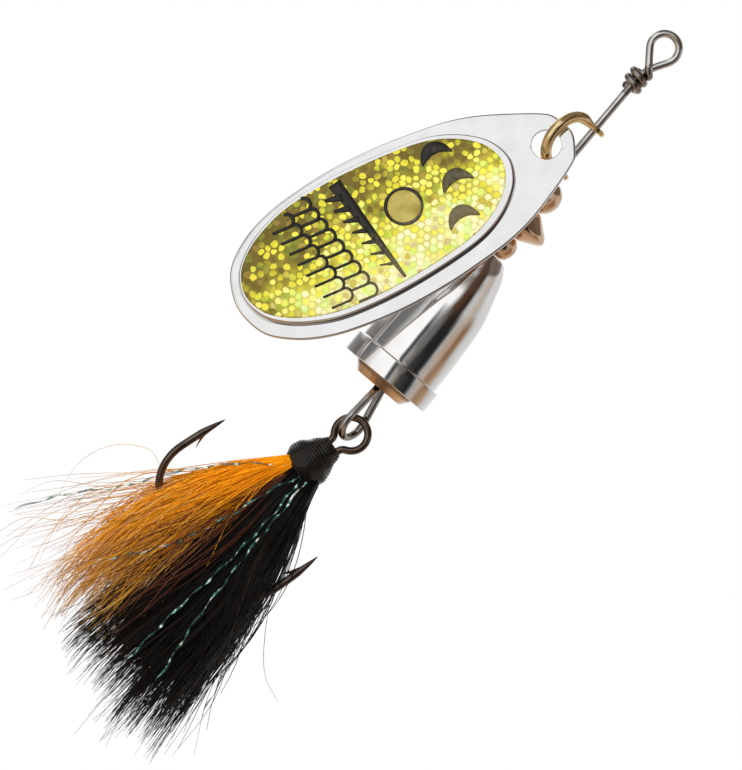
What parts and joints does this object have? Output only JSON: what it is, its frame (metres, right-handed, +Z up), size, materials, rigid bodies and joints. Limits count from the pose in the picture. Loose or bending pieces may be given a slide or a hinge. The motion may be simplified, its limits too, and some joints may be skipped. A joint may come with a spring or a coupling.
{
  "type": "inline spinner",
  "caption": "Inline spinner lure: a domed blade on a clevis turns round a wire shaft with beads, rotor and weighted bell, over a dressed treble hook.",
  "frame": {"origin": "inside top of the line-tie loop, on the straight shaft's axis", "axes": "+Z up the shaft to the line tie, -Y towards the viewer of the blade's face, +X to the right"},
  "size_m": [0.028, 0.0173, 0.0876],
  "materials": {
    "stainless_wire": "bright drawn stainless wire",
    "silver_plate": "polished silver plating",
    "brass_wire": "polished brass",
    "turned_brass": "turned red brass, lightly tarnished",
    "gold_film": "dotted gold and yellow holographic film",
    "dark_bronze": "dark bronze plating",
    "black_thread": "lacquered black thread",
    "orange_hair": "dyed orange bucktail",
    "black_hair": "dyed black bucktail",
    "brown_hair": "reddish brown bucktail",
    "pearl_flash": "twisted pearl tinsel"
  },
  "bodies": {
    "shaft": {"shaft_wire": "stainless_wire"},
    "bell": {"bell_body": "silver_plate", "weight_core": "turned_brass"},
    "lower_bead": {"lower_bead": "turned_brass"},
    "rotor": {"rotor": "turned_brass"},
    "upper_bead": {"upper_bead": "turned_brass"},
    "clevis": {"clevis": "brass_wire"},
    "blade": {"blade": "silver_plate", "blade_decal": "gold_film"},
    "treble": {"double_hook": "dark_bronze", "single_hook": "dark_bronze", "thread_wrap": "black_thread", "orange_hair": "orange_hair", "black_hair": "black_hair", "brown_hair": "brown_hair", "back_hair": "black_hair", "flash_strand_1": "pearl_flash", "flash_strand_2": "pearl_flash", "flash_strand_3": "pearl_flash", "flash_strand_4": "pearl_flash", "flash_strand_5": "pearl_flash"}
  },
  "joints": [
    {"name": "bell_spin", "type": "hinge", "parent": "shaft", "child": "bell", "pos_m": [0, 0, -0.0364], "axis": [0, 0, 1], "continuous": true},
    {"name": "stack_slide", "type": "slide", "parent": "shaft", "child": "lower_bead", "axis": [0, 0, 1], "range_m": [0, 0.004]},
    {"name": "rotor_spin", "type": "hinge", "parent": "lower_bead", "child": "rotor", "pos_m": [0, 0, -0.0239], "axis": [0, 0, 1], "continuous": true},
    {"name": "upper_bead_spin", "type": "hinge", "parent": "lower_bead", "child": "upper_bead", "pos_m": [0, 0, -0.02], "axis": [0, 0, 1], "continuous": true},
    {"name": "clevis_spin", "type": "hinge", "parent": "lower_bead", "child": "clevis", "pos_m": [0, 0, -0.01455], "axis": [0, 0, 1], "continuous": true},
    {"name": "blade_swing", "type": "hinge", "parent": "clevis", "child": "blade", "pos_m": [-0.00204, -0.00261, -0.01704], "axis": [-0.788, 0.6157, 0], "range_deg": [0, 40]},
    {"name": "hook_swing", "type": "hinge", "parent": "shaft", "child": "treble", "pos_m": [0.00095, 0, -0.0508], "axis": [0, 1, 0], "range_deg": [-50, 25]}
  ]
}
